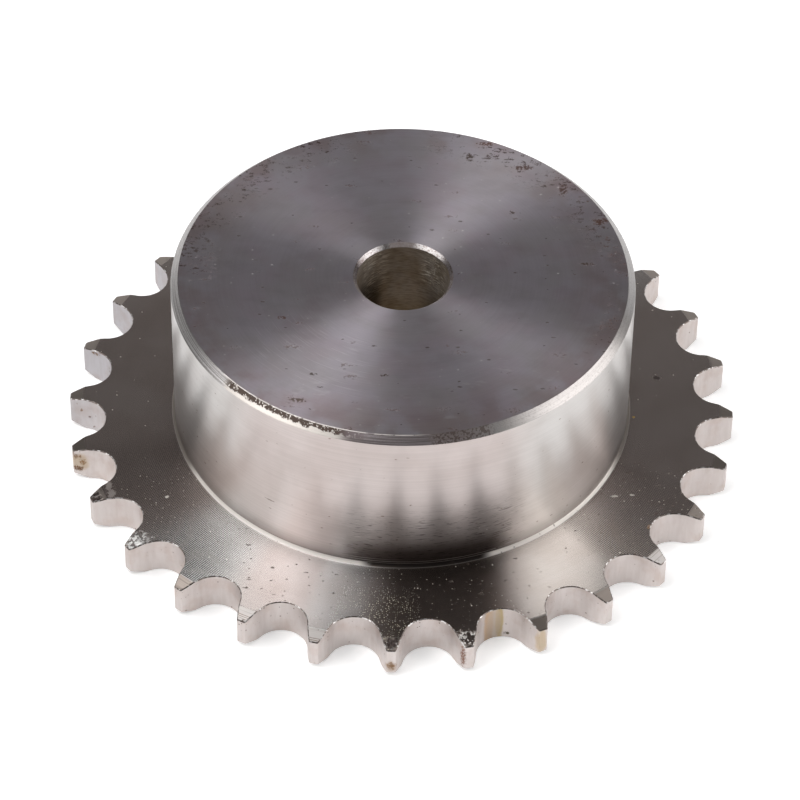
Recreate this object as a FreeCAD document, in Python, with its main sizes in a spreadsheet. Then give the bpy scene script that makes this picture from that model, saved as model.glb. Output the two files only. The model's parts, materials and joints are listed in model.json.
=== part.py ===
"""Chain sprocket with a one-sided hub, cut from one piece of steel.

The blank is turned with its hub, bored and bevelled, and the teeth are then cut one gap at a time around
the rim. The origin is the centre of the toothed plate's back face, Z runs along the bore towards the hub,
and a tooth is centred on X. Lengths are in millimetres and angles in degrees.
"""

import FreeCAD, Part
import math
import os

import Sketcher

Vector = FreeCAD.Vector

# Every size that can be set by itself. The chain is a simple roller chain of 9.525 mm pitch. The tooth
# form hangs on the pitch circle, which passes through the centres of the seated rollers.
SIZES = [
    ("chain_pitch", 9.525, "from one roller to the next"),
    ("teeth_count", 28, "teeth around the rim"),
    ("roller_diameter", 6.35, "roller of the chain"),
    ("seat_clearance", 0.38, "roller seat over the roller, on diameter"),
    ("seat_angle", 135.0, "stretch of the tooth gap that follows the roller"),
    ("flank_radius", 22.86, "slight bulge of the tooth's flanks"),
    ("tip_height", 1.48, "tooth tip above the pitch circle"),
    ("tooth_width", 5.3, "thickness of the toothed plate"),
    ("tip_bevel_width", 1.85, "bevel of the rim, measured along the radius"),
    ("tip_bevel_depth", 0.62, "bevel of the rim, measured along the axis"),
    ("hub_diameter", 60.0, "outside of the hub"),
    ("overall_length", 28.0, "plate and hub together"),
    ("hub_base_fillet", 0.55, "round where the hub meets the plate"),
    ("hub_edge_bevel", 0.95, "bevel round the hub's end face"),
    ("bore_diameter", 12.0, "bore for the shaft"),
    ("bore_bevel", 0.46, "bevel at both ends of the bore"),
]

# Lengths and angles worked out from the sheet, as expressions.
HALF_STEP = "(180 deg / Sizes.teeth_count)"
PITCH_RADIUS = f"(Sizes.chain_pitch / (2 * sin({HALF_STEP})))"
TIP_RADIUS = f"({PITCH_RADIUS} + Sizes.tip_height)"
SEAT_RADIUS = "((Sizes.roller_diameter + Sizes.seat_clearance) / 2)"

# What the sketcher calls the origin, the horizontal axis and the points of an edge.
ORIGIN = (-1, 1)
X_AXIS = -1
START, END, CENTRE = 1, 2, 3

doc = FreeCAD.newDocument("ChainSprocket")


def make_sheet():
    """Write the sizes into a spreadsheet, one alias to a row."""
    sheet = doc.addObject("Spreadsheet::Sheet", "Sizes")
    for row, (alias, value, meaning) in enumerate(SIZES, start=1):
        sheet.set(f"A{row}", alias)
        sheet.set(f"B{row}", str(value))
        sheet.set(f"C{row}", meaning)
        sheet.setAlias(f"B{row}", alias)
    doc.recompute()
    return sheet


def new_sketch(body, name, role):
    """Lay a sketch on an origin plane of its body."""
    plane = next(plane for plane in body.Origin.OriginFeatures if plane.Role == role)
    sketch = body.newObject("Sketcher::SketchObject", name)
    sketch.AttachmentSupport = [(plane, "")]
    sketch.MapMode = "FlatFace"
    return sketch


def relate(sketch, kind, *elements):
    """Add a constraint that has no size."""
    sketch.addConstraint(Sketcher.Constraint(kind, *elements))


def dimension(sketch, name, expression, kind, *elements):
    """Add a named size, the last of the elements being its first value, and tie it to the sheet."""
    index = sketch.addConstraint(Sketcher.Constraint(kind, *elements))
    sketch.renameConstraint(index, name)
    sketch.setExpression(f"Constraints.{name}", expression)


def circular_edge(feature, radius, height):
    """Name the circle of this radius at this height on the feature's solid."""
    tolerance = 1e-4
    for number, edge in enumerate(feature.Shape.Edges, start=1):
        curve = edge.Curve
        if not isinstance(curve, Part.Circle):
            continue
        if abs(curve.Radius - radius) < tolerance and abs(curve.Center.z - height) < tolerance:
            return f"Edge{number}"
    raise ValueError(f"{feature.Name} has no circle of radius {radius} at height {height}")


def require_cut(before, after):
    """Stop if a cut took next to nothing off the solid, or turned it inside out."""
    smallest_chip = 1.0
    if not smallest_chip < before.Shape.Volume - after.Shape.Volume < before.Shape.Volume:
        raise ValueError(f"{after.Name} doesn't cut the solid")


def turn_blank(body, sheet):
    """Turn the plate and the hub around Z, with the rim bevelled on both faces."""
    hub = sheet.hub_diameter / 2
    rim = sheet.chain_pitch / (2 * math.sin(math.pi / sheet.teeth_count)) + sheet.tip_height
    bevel_start = rim - sheet.tip_bevel_width
    front_bevel_end = sheet.tooth_width - sheet.tip_bevel_depth
    corners = [
        Vector(0, 0),
        Vector(bevel_start, 0),
        Vector(rim, sheet.tip_bevel_depth),
        Vector(rim, front_bevel_end),
        Vector(bevel_start, sheet.tooth_width),
        Vector(hub, sheet.tooth_width),
        Vector(hub, sheet.overall_length),
        Vector(0, sheet.overall_length),
    ]
    sketch = new_sketch(body, "blank_profile", "XZ_Plane")
    for start, end in zip(corners, corners[1:] + corners[:1]):
        sketch.addGeometry(Part.LineSegment(start, end), False)
    back_face, back_bevel, rim_line, front_bevel, front_face, hub_wall, hub_end, axis = range(len(corners))

    for line in (back_face, back_bevel, rim_line, front_bevel, front_face, hub_wall, hub_end, axis):
        relate(sketch, "Coincident", line, END, (line + 1) % len(corners), START)
    for line in (back_face, front_face, hub_end):
        relate(sketch, "Horizontal", line)
    for line in (rim_line, hub_wall, axis):
        relate(sketch, "Vertical", line)
    relate(sketch, "Coincident", back_face, START, *ORIGIN)
    relate(sketch, "Vertical", back_face, END, front_face, START)

    dimension(sketch, "rim_radius", TIP_RADIUS, "DistanceX", *ORIGIN, rim_line, START, rim)
    dimension(sketch, "bevel_width", "Sizes.tip_bevel_width",
              "DistanceX", back_bevel, START, back_bevel, END, sheet.tip_bevel_width)
    dimension(sketch, "back_bevel_depth", "Sizes.tip_bevel_depth",
              "DistanceY", back_bevel, START, back_bevel, END, sheet.tip_bevel_depth)
    dimension(sketch, "front_bevel_depth", "Sizes.tip_bevel_depth",
              "DistanceY", front_bevel, START, front_bevel, END, sheet.tip_bevel_depth)
    dimension(sketch, "plate_thickness", "Sizes.tooth_width",
              "DistanceY", *ORIGIN, front_face, START, sheet.tooth_width)
    dimension(sketch, "hub_radius", "Sizes.hub_diameter / 2", "DistanceX", *ORIGIN, hub_wall, START, hub)
    dimension(sketch, "length", "Sizes.overall_length",
              "DistanceY", *ORIGIN, hub_end, START, sheet.overall_length)

    blank = body.newObject("PartDesign::Revolution", "turned_blank")
    blank.Profile = sketch
    blank.ReferenceAxis = (sketch, ["V_Axis"])
    blank.Angle = 360
    doc.recompute()
    return blank


def round_hub_base(body, sheet, blank):
    """Leave the turning tool's small round in the corner between hub and plate."""
    base = body.newObject("PartDesign::Fillet", "hub_base_round")
    base.Base = (blank, [circular_edge(blank, sheet.hub_diameter / 2, sheet.tooth_width)])
    base.setExpression("Radius", "Sizes.hub_base_fillet")
    doc.recompute()
    return base


def bevel_hub_end(body, sheet, turned):
    """Bevel the edge of the hub's end face."""
    bevel = body.newObject("PartDesign::Chamfer", "hub_end_bevel")
    bevel.Base = (turned, [circular_edge(turned, sheet.hub_diameter / 2, sheet.overall_length)])
    bevel.setExpression("Size", "Sizes.hub_edge_bevel")
    doc.recompute()
    return bevel


def drill_bore(body, sheet, turned):
    """Drill the bore right through, from the plate's back face to the hub's end."""
    radius = sheet.bore_diameter / 2
    sketch = new_sketch(body, "bore_outline", "XY_Plane")
    circle = sketch.addGeometry(Part.Circle(Vector(0, 0, 0), Vector(0, 0, 1), radius), False)
    relate(sketch, "Coincident", circle, CENTRE, *ORIGIN)
    dimension(sketch, "bore_radius", "Sizes.bore_diameter / 2", "Radius", circle, radius)
    doc.recompute()

    bore = body.newObject("PartDesign::Hole", "bore")
    bore.Profile = sketch
    bore.Reversed = True
    bore.DepthType = "ThroughAll"
    bore.setExpression("Diameter", "Sizes.bore_diameter")
    doc.recompute()
    require_cut(turned, bore)
    return bore


def bevel_bore(body, sheet, bored):
    """Bevel both mouths of the bore."""
    radius = sheet.bore_diameter / 2
    bevel = body.newObject("PartDesign::Chamfer", "bore_bevel")
    bevel.Base = (bored, [circular_edge(bored, radius, height) for height in (0, sheet.overall_length)])
    bevel.setExpression("Size", "Sizes.bore_bevel")
    doc.recompute()
    return bevel


def draw_tooth_gap(body, sheet):
    """Draw the space between two teeth, along the sketch's X axis.

    A roller seat, a little larger than the roller, runs up on both sides. From each of its ends a slightly
    convex flank leads on, tangent to the seat, up to the tip circle. Past the tip circle the outline is
    square, and between two gaps a narrow land is left across the tooth tip.
    """
    half_step = math.pi / sheet.teeth_count
    pitch_radius = sheet.chain_pitch / (2 * math.sin(half_step))
    tip_radius = pitch_radius + sheet.tip_height
    seat_radius = (sheet.roller_diameter + sheet.seat_clearance) / 2
    seat_half_angle = math.radians(sheet.seat_angle) / 2

    roller = Vector(pitch_radius, 0)
    outward = Vector(-math.cos(seat_half_angle), math.sin(seat_half_angle))
    flank_radius = sheet.flank_radius
    flank_centre = roller + outward * (seat_radius + flank_radius)
    to_centre = flank_centre.Length
    across = (to_centre ** 2 + tip_radius ** 2 - flank_radius ** 2) / (2 * to_centre * tip_radius)
    land_angle = math.atan2(flank_centre.y, flank_centre.x) - math.acos(across)
    land_edge = Vector(tip_radius * math.cos(land_angle), tip_radius * math.sin(land_angle))
    to_land = land_edge - flank_centre
    flank_end_angle = math.atan2(to_land.y, to_land.x)
    outside = tip_radius + seat_radius
    upper_corner = Vector(outside, land_edge.y)

    def mirrored(point):
        return Vector(point.x, -point.y)

    def circle(centre, radius):
        return Part.Circle(centre, Vector(0, 0, 1), radius)

    sketch = new_sketch(body, "tooth_gap_outline", "XY_Plane")
    sketch.setExpression("AttachmentOffset.Rotation.Angle", HALF_STEP)
    outline = [
        Part.ArcOfCircle(circle(roller, seat_radius), math.pi - seat_half_angle, math.pi + seat_half_angle),
        Part.ArcOfCircle(circle(flank_centre, flank_radius), -seat_half_angle, flank_end_angle),
        Part.ArcOfCircle(circle(mirrored(flank_centre), flank_radius), -flank_end_angle, seat_half_angle),
        Part.LineSegment(land_edge, upper_corner),
        Part.LineSegment(upper_corner, mirrored(upper_corner)),
        Part.LineSegment(mirrored(upper_corner), mirrored(land_edge)),
    ]
    seat, upper_flank, lower_flank, upper_exit, outer_side, lower_exit = sketch.addGeometry(outline, False)
    tip_circle = sketch.addGeometry(circle(Vector(), tip_radius), True)

    relate(sketch, "PointOnObject", seat, CENTRE, X_AXIS)
    relate(sketch, "Symmetric", seat, START, seat, END, X_AXIS)
    relate(sketch, "Tangent", seat, START, upper_flank, START)
    relate(sketch, "Tangent", seat, END, lower_flank, END)
    relate(sketch, "Coincident", tip_circle, CENTRE, *ORIGIN)
    relate(sketch, "PointOnObject", upper_flank, END, tip_circle)
    relate(sketch, "Symmetric", upper_flank, END, lower_flank, START, X_AXIS)
    relate(sketch, "Coincident", upper_flank, END, upper_exit, START)
    relate(sketch, "Coincident", upper_exit, END, outer_side, START)
    relate(sketch, "Coincident", outer_side, END, lower_exit, START)
    relate(sketch, "Coincident", lower_exit, END, lower_flank, START)
    relate(sketch, "Horizontal", upper_exit)
    relate(sketch, "Vertical", outer_side)
    relate(sketch, "Horizontal", lower_exit)

    dimension(sketch, "pitch_radius", PITCH_RADIUS, "DistanceX", *ORIGIN, seat, CENTRE, pitch_radius)
    dimension(sketch, "seat_radius", SEAT_RADIUS, "Radius", seat, seat_radius)
    dimension(sketch, "seat_angle", "Sizes.seat_angle * 1 deg", "Angle", seat, 2 * seat_half_angle)
    dimension(sketch, "tip_radius", TIP_RADIUS, "Radius", tip_circle, tip_radius)
    dimension(sketch, "flank_radius", "Sizes.flank_radius", "Radius", upper_flank, flank_radius)
    dimension(sketch, "outside", f"{TIP_RADIUS} + {SEAT_RADIUS}",
              "DistanceX", *ORIGIN, outer_side, START, outside)
    doc.recompute()
    return sketch


def cut_teeth(body, sheet, bored):
    """Cut one gap through the plate and repeat it around the rim, with a tooth left on the X axis."""
    sketch = draw_tooth_gap(body, sheet)
    gap = body.newObject("PartDesign::Pocket", "tooth_gap")
    gap.Profile = sketch
    gap.Reversed = True
    gap.setExpression("Length", "Sizes.tooth_width")
    doc.recompute()
    require_cut(bored, gap)

    teeth = body.newObject("PartDesign::PolarPattern", "teeth")
    teeth.Originals = [gap]
    teeth.Axis = (sketch, ["N_Axis"])
    teeth.Angle = 360
    teeth.setExpression("Occurrences", "Sizes.teeth_count")
    body.Tip = teeth
    doc.recompute()
    require_cut(gap, teeth)
    return teeth


def check_document():
    """Stop if any object failed to build or any solid is broken."""
    for item in doc.Objects:
        if "Invalid" in item.State or "Error" in item.State:
            raise ValueError(f"{item.Name} failed: {item.State}")
        if item.isDerivedFrom("PartDesign::Feature") and (item.Shape.isNull() or not item.Shape.isValid()):
            raise ValueError(f"{item.Name} has no valid shape")


def build():
    """Make the sprocket and write its solid."""
    sheet = make_sheet()
    body = doc.addObject("PartDesign::Body", "Sprocket")
    body.Label = "sprocket"
    blank = turn_blank(body, sheet)
    rounded = round_hub_base(body, sheet, blank)
    turned = bevel_hub_end(body, sheet, rounded)
    bored = bevel_bore(body, sheet, drill_bore(body, sheet, turned))
    cut_teeth(body, sheet, bored)
    check_document()

    os.makedirs("parts", exist_ok=True)
    body.Shape.exportStep(f"parts/{body.Label}.step")


build()
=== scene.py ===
"""A chain sprocket of bare steel: turned hub and plate, hobbed teeth, oxide and spots of rust.

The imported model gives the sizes. One tooth's worth of the sprocket is modelled as a mesh, from the bore out
to the tooth tip, and repeated around the bore. Lengths are in metres, with Z along the bore.
"""

import json
import math

import bmesh
import bpy
import numpy as np
from bpy.props import FloatProperty, FloatVectorProperty, IntProperty, PointerProperty
from mathutils import Matrix, Vector


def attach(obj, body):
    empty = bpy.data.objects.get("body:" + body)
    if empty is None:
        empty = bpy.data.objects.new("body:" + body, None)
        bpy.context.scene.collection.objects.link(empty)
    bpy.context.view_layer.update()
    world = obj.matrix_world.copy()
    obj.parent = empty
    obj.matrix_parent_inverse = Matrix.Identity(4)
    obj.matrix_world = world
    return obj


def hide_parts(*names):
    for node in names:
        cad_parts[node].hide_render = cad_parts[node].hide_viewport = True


bl_info = {
    "name": "Turned Steel Sprocket",
    "version": (1, 0, 0),
    "blender": (4, 5, 0),
    "location": "3D View > Sidebar > Sprocket",
    "description": "Builds a chain sprocket with turned, hobbed and rusted surfaces, and a studio for it",
    "category": "Add Mesh",
}

MM = 0.001
NODE = "sprocket"
BODY = "root"

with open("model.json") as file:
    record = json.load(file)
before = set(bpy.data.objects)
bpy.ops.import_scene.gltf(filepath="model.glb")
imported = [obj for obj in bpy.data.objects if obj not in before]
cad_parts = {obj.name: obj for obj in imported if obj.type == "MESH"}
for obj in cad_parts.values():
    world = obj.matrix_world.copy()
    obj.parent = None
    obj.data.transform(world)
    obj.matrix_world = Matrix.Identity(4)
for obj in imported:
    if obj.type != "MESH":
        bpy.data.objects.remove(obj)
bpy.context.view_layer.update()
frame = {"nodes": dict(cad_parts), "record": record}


def srgb(code):
    """Turn an sRGB hex colour into linear red, green and blue."""
    channels = [int(code[i:i + 2], 16) / 255 for i in (1, 3, 5)]
    return tuple(c / 12.92 if c <= 0.04045 else ((c + 0.055) / 1.055) ** 2.4 for c in channels)


def measure_frame():
    """Read the sprocket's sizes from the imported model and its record."""
    record = frame["record"]
    mesh = frame["nodes"][NODE].data
    points = np.empty(len(mesh.vertices) * 3)
    mesh.vertices.foreach_get("co", points)
    points = points.reshape(-1, 3)
    radius = np.hypot(points[:, 0], points[:, 1])
    height = points[:, 2]
    slack = 0.02 * MM
    length = height.max()
    tip = radius.max()
    rim = height[radius > tip - slack]
    width = rim.min() + rim.max()
    hub = radius[height > length / 2].max()
    hub_wall = height[(abs(radius - hub) < slack) & (height > width + slack)]
    gap_box = np.array(record["physics"]["openings"][0]["box_m"])
    bore = next(mount["dims"] for mount in record["mounts"] if mount["name"] == "bore")
    return {
        "teeth": len(record["physics"]["openings"]),
        "pitch_radius": float(np.hypot(*gap_box.mean(0)[:2])),
        "tip_radius": float(tip),
        "tooth_width": float(width),
        "tip_bevel_depth": float(rim.min()),
        "tip_bevel_width": float(tip - radius[height < slack].max()),
        "root_radius": float(radius[(radius > hub + 2 * MM) & (height < slack)].min()),
        "hub_radius": float(hub),
        "length": float(length),
        "hub_edge_bevel": float(length - hub_wall.max()),
        "hub_base_round": float(hub_wall.min() - width),
        "bore_radius": bore["r_mm"] * MM,
        "bore_bevel": float(length - bore["length_mm"] * MM) / 2,
    }


MEASURED = measure_frame()


def length_property(key, description, default=None):
    """A length in metres, shown in the scene's units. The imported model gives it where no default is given."""
    return FloatProperty(name=key.replace("_", " ").capitalize(), description=description,
                         default=MEASURED[key] if default is None else default,
                         min=0.0, unit="LENGTH", subtype="DISTANCE", precision=5)


def colour_property(name, description, code):
    """A colour given as sRGB hex and kept as linear."""
    return FloatVectorProperty(name=name, description=description, default=srgb(code), size=3,
                               min=0.0, max=1.0, subtype="COLOR")


class SprocketSizes(bpy.types.PropertyGroup):
    """The sprocket's sizes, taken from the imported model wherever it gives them."""

    teeth: IntProperty(name="Teeth", description="Teeth around the rim", default=MEASURED["teeth"], min=8)
    pitch_radius: length_property("pitch_radius", "Circle through the seated rollers' centres")
    root_radius: length_property("root_radius", "Bottom of the tooth gaps")
    tip_radius: length_property("tip_radius", "Top of the teeth")
    tooth_width: length_property("tooth_width", "Thickness of the toothed plate")
    tip_bevel_width: length_property("tip_bevel_width", "Bevel of the rim along the radius")
    tip_bevel_depth: length_property("tip_bevel_depth", "Bevel of the rim along the axis")
    hub_radius: length_property("hub_radius", "Outside of the hub")
    length: length_property("length", "Plate and hub together")
    hub_base_round: length_property("hub_base_round", "Round between hub and plate")
    hub_edge_bevel: length_property("hub_edge_bevel", "Bevel round the hub's end")
    bore_radius: length_property("bore_radius", "Bore for the shaft")
    bore_bevel: length_property("bore_bevel", "Bevel at both mouths of the bore")
    seat_angle: FloatProperty(
        name="Seat angle", description="Stretch of the tooth gap that follows the roller",
        default=math.radians(135), subtype="ANGLE", unit="ROTATION")
    flank_radius: length_property("flank_radius", "Slight bulge of the tooth's flanks", 22.86 * MM)
    land_round: length_property("land_round", "Worn corners of the tooth's tip", 0.22 * MM)
    edge_break: length_property("edge_break", "Sharp edges of the teeth, broken by the deburring wheel",
                                0.11 * MM)
    corner_round: length_property("corner_round", "Edges of the turned bevels", 0.08 * MM)


class SprocketColours(bpy.types.PropertyGroup):
    """Colours of the steel and of what has settled on it."""

    steel: colour_property("Steel", "Bare turned carbon steel", "#cfccca")
    plate: colour_property("Plate", "Turned faces of the plate", "#c2bebc")
    hub_end: colour_property("Hub end", "Hub's end face, with the cool cast of its oil film", "#b9b2ba")
    flank: colour_property("Flank", "Hobbed tooth gaps", "#d0c8c5")
    bore: colour_property("Bore", "Drilled bore", "#cdc3b9")
    bevel: colour_property("Bevel", "Turned bevels of the hub and bore", "#c2bfbe")


# Numbers of the finishes on the faces, in the order of FINISHES.
FACED, TURNED, BEVELLED, PLATE, HOBBED, BORE, BROKEN = range(7)

# How finely the surfaces are divided.
COLUMNS = 16
SEAT_POINTS, FLANK_POINTS, CORNER_POINTS = 25, 6, 7
WALL_ROWS = 6
ROUNDING_STEPS = 4
GUARD = 0.15 * MM
WELD = 0.0005 * MM
SHARP = math.radians(20)


def rounded_profile(corners):
    """Walk along corners of (radius, height, rounding, finish of the stretch to the next, spans in it).

    Returns the rings of the turned surface and, for each gap between two rings, its finish. A ring close to
    each rounding guards the flat beside it, so that the rounding's shading stays off it.
    """
    points = np.array([corner[:2] for corner in corners])
    rings, finishes = [points[0]], []
    for i in range(1, len(corners)):
        before, here = points[i - 1], points[i]
        rounding, finish, spans = corners[i][2], corners[i - 1][3], corners[i - 1][4]
        along = (here - before) / np.linalg.norm(here - before)
        arc = [here]
        if rounding and i < len(corners) - 1:
            onward = (points[i + 1] - here) / np.linalg.norm(points[i + 1] - here)
            turn = math.atan2(along[0] * onward[1] - along[1] * onward[0], along @ onward)
            start = here - along * rounding * abs(math.tan(turn / 2))
            normal = np.array([-along[1], along[0]]) * math.copysign(rounding, turn)
            centre = start + normal
            angles = np.linspace(0, turn, ROUNDING_STEPS + 1)
            arc = [np.array(centre - Matrix.Rotation(angle, 2) @ Vector(normal)) for angle in angles]
        first = rings[-1]
        guard = min(GUARD, np.linalg.norm(arc[0] - first) / 4)
        stretch = [first + along * guard] if corners[i - 1][2] else []
        stretch += list(np.linspace(first, arc[0], spans + 1)[1:-1])
        if rounding:
            stretch.append(arc[0] - along * guard)
        for point in stretch + arc[:1]:
            rings.append(point)
            finishes.append(finish)
        for point in arc[1:]:
            rings.append(point)
            finishes.append(corners[i][3] if corners[i][3] == BEVELLED else finish)
    return np.array(rings), finishes


def turned_profile(sizes):
    """Rings of the turned surface, from just inside the teeth over the hub and through the bore."""
    inner = sizes.root_radius - sizes.edge_break
    hub, bore, rounding = sizes.hub_radius, sizes.bore_radius, sizes.corner_round
    bevel, mouth = sizes.hub_edge_bevel, sizes.bore_bevel
    width, length = sizes.tooth_width, sizes.length
    corners = [
        (inner, width, 0, PLATE, 6),
        (hub, width, sizes.hub_base_round, TURNED, 6),
        (hub, length - bevel, rounding, BEVELLED, 1),
        (hub - bevel, length, rounding, FACED, 8),
        (bore + mouth, length, rounding / 2, BEVELLED, 1),
        (bore, length - mouth, rounding / 2, BORE, 6),
        (bore, mouth, rounding / 2, BEVELLED, 1),
        (bore + mouth, 0, rounding / 2, PLATE, 10),
        (inner, 0, 0, PLATE, 1),
    ]
    return rounded_profile(corners)


def gap_outline(sizes):
    """Half of a tooth in plan, from the bottom of its gap to the edge of its land.

    The tooth is centred on X. The gap's seat follows the roller, a slightly convex flank leads on from it,
    and a small round leads over to the land. Returns the points and their directions into the metal.
    """
    half_step = math.pi / sizes.teeth
    seat_radius = sizes.pitch_radius - sizes.root_radius
    seat_half = sizes.seat_angle / 2
    flank_radius, land_round = sizes.flank_radius, sizes.land_round
    roller = np.array([sizes.pitch_radius, 0])
    to_seat_end = np.array([-math.cos(seat_half), math.sin(seat_half)])
    flank_centre = roller + (seat_radius + flank_radius) * to_seat_end

    to_flank = np.hypot(*flank_centre)
    flank_bearing = math.atan2(flank_centre[1], flank_centre[0])
    inside_flank, inside_tip = flank_radius - land_round, sizes.tip_radius - land_round
    across = (to_flank ** 2 + inside_tip ** 2 - inside_flank ** 2) / (2 * to_flank * inside_tip)
    corner_angle = flank_bearing - math.acos(across)
    corner_centre = inside_tip * np.array([math.cos(corner_angle), math.sin(corner_angle)])
    to_corner = corner_centre - flank_centre
    flank_end = math.atan2(to_corner[1], to_corner[0])

    bevel_start = sizes.tip_radius - sizes.tip_bevel_width
    inner_flank = flank_radius - sizes.edge_break
    bend = (bevel_start ** 2 - to_flank ** 2 - inner_flank ** 2) / (2 * to_flank * inner_flank)
    flank_bend = flank_bearing - math.acos(bend)

    parts = [
        (roller, -seat_radius, np.linspace(math.pi, math.pi - seat_half, SEAT_POINTS)),
        (flank_centre, flank_radius, np.linspace(-seat_half, flank_bend, FLANK_POINTS)[1:]),
        (flank_centre, flank_radius, np.linspace(flank_bend, flank_end, FLANK_POINTS)[1:]),
        (corner_centre, land_round, np.linspace(flank_end, corner_angle, CORNER_POINTS)[1:]),
    ]
    points, metal = [], []
    for centre, radius, angles in parts:
        outward = np.column_stack([np.cos(angles), np.sin(angles)])
        points.append(centre + abs(radius) * outward)
        metal.append(-math.copysign(1, radius) * outward)
    points, metal = np.concatenate(points), np.concatenate(metal)
    turn = np.array([[math.cos(half_step), -math.sin(half_step)],
                     [math.sin(half_step), math.cos(half_step)]])
    return points @ turn, metal @ turn


def sector_mesh(sizes):
    """Build one tooth's worth of the sprocket, centred on X."""
    vertices, faces, finishes = [], [], []
    half_step = math.pi / sizes.teeth
    slope = sizes.tip_bevel_depth / sizes.tip_bevel_width
    bevel_start = sizes.tip_radius - sizes.tip_bevel_width

    def add_grid(grid, finish):
        """Add rows of points as quads; finish is one index, or one for each pair of rows."""
        rows, columns = grid.shape[:2]
        first = len(vertices)
        vertices.extend(map(tuple, grid.reshape(-1, 3)))
        for row in range(rows - 1):
            for column in range(columns - 1):
                corner = first + row * columns + column
                faces.append((corner, corner + 1, corner + columns + 1, corner + columns))
                finishes.append(finish if isinstance(finish, int) else finish[row])

    def drop(radius):
        """How far the rim's bevel lies below the plate's face at this radius."""
        return np.maximum(radius - bevel_start, 0) * slope

    fan = np.linspace(-half_step, half_step, COLUMNS + 1)
    rings, ring_finishes = turned_profile(sizes)
    turned = np.stack([np.outer(rings[:, 0], np.cos(fan)), np.outer(rings[:, 0], np.sin(fan)),
                       np.repeat(rings[:, 1:], COLUMNS + 1, 1)], axis=2)
    add_grid(turned, ring_finishes)

    outline, metal = gap_outline(sizes)
    inner = outline + sizes.edge_break * metal
    reach = np.hypot(*inner.T)
    spread = np.abs(np.arctan2(inner[:, 1], inner[:, 0]))
    spread[0] = half_step
    angles = np.outer(spread, np.linspace(-1, 1, COLUMNS + 1))
    plan = reach[:, None, None] * np.stack([np.cos(angles), np.sin(angles)], axis=2)
    face_drop = np.repeat(drop(reach)[:, None], COLUMNS + 1, 1)

    land = np.linspace(-1, 1, COLUMNS + 1)[1:-1] * abs(math.atan2(outline[-1, 1], outline[-1, 0]))
    land = sizes.tip_radius * np.column_stack([np.cos(land), np.sin(land)])
    edge = np.concatenate([outline, land, outline[::-1] * [1, -1]])
    edge_drop = drop(np.hypot(*edge.T)) + sizes.edge_break
    inside = np.concatenate([plan[:, 0], plan[-1, 1:-1], plan[::-1, -1]])
    inside_drop = drop(np.hypot(*inside.T))

    for face, inward in ((sizes.tooth_width, -1), (0.0, 1)):
        level = face + inward * face_drop[..., None]
        add_grid(np.concatenate([plan, level], axis=2), PLATE)
        broken = np.stack([np.column_stack([inside, face + inward * inside_drop]),
                           np.column_stack([edge, face + inward * edge_drop])])
        add_grid(broken, BROKEN)
    levels = np.linspace(0, 1, WALL_ROWS)[:, None]
    heights = sizes.tooth_width - edge_drop + levels * (2 * edge_drop - sizes.tooth_width)
    wall = np.concatenate([np.repeat(edge[None], len(levels), 0), heights[..., None]], axis=2)
    add_grid(wall, HOBBED)

    mesh = bpy.data.meshes.new("sprocket_sector")
    mesh.from_pydata(vertices, [], faces)
    attribute = mesh.attributes.new("finish", "INT", "FACE")
    attribute.data.foreach_set("value", finishes)
    return mesh


def add_node(tree, kind, inputs=(), **settings):
    """Add a node with its settings. Inputs map a socket's name or number to a value, a socket or a node."""
    node = tree.nodes.new(kind)
    for name, value in settings.items():
        setattr(node, name, value)
    for key, value in dict(inputs).items():
        if isinstance(value, bpy.types.Node):
            value = value.outputs[0]
        if isinstance(value, bpy.types.NodeSocket):
            tree.links.new(value, node.inputs[key])
        else:
            node.inputs[key].default_value = value
    return node


def repeat_tree(materials):
    """Geometry nodes that copy a sector around the bore, weld the copies and give faces their materials."""
    tree = bpy.data.node_groups.new("repeat_around_bore", "GeometryNodeTree")
    for name, side, kind in (("Geometry", "INPUT", "Geometry"), ("Teeth", "INPUT", "Int"),
                             ("Weld distance", "INPUT", "Float"), ("Geometry", "OUTPUT", "Geometry")):
        tree.interface.new_socket(name, in_out=side, socket_type="NodeSocket" + kind)
    group = add_node(tree, "NodeGroupInput")
    points = add_node(tree, "GeometryNodePoints", {"Count": group.outputs["Teeth"]})
    step = add_node(tree, "ShaderNodeMath", {0: math.tau, 1: group.outputs["Teeth"]}, operation="DIVIDE")
    index = add_node(tree, "GeometryNodeInputIndex")
    angle = add_node(tree, "ShaderNodeMath", {0: index, 1: step}, operation="MULTIPLY")
    rotation = add_node(tree, "ShaderNodeCombineXYZ", {"Z": angle})
    copies = add_node(tree, "GeometryNodeInstanceOnPoints",
                      {"Points": points, "Instance": group.outputs["Geometry"], "Rotation": rotation})
    ring = add_node(tree, "GeometryNodeRealizeInstances", {"Geometry": copies})
    ring = add_node(tree, "GeometryNodeMergeByDistance",
                    {"Geometry": ring, "Distance": group.outputs["Weld distance"]})
    finish = add_node(tree, "GeometryNodeInputNamedAttribute", {"Name": "finish"}, data_type="INT")
    for number, material in enumerate(materials):
        chosen = add_node(tree, "FunctionNodeCompare", {2: finish, 3: number},
                          data_type="INT", operation="EQUAL")
        ring = add_node(tree, "GeometryNodeSetMaterial",
                        {"Geometry": ring, "Selection": chosen, "Material": material})
    add_node(tree, "NodeGroupOutput", {"Geometry": ring})
    return tree


def to_plain_mesh(piece):
    """Replace a piece's modifiers by their result."""
    depsgraph = bpy.context.evaluated_depsgraph_get()
    mesh = bpy.data.meshes.new_from_object(piece.evaluated_get(depsgraph))
    piece.modifiers.clear()
    piece.data = mesh
    return mesh


def make_outward(mesh):
    """Point every face of a closed mesh outwards."""
    solid = bmesh.new()
    solid.from_mesh(mesh)
    bmesh.ops.recalc_face_normals(solid, faces=solid.faces)
    if solid.calc_volume(signed=True) < 0:
        bmesh.ops.reverse_faces(solid, faces=solid.faces)
    solid.to_mesh(mesh)
    solid.free()


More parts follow.
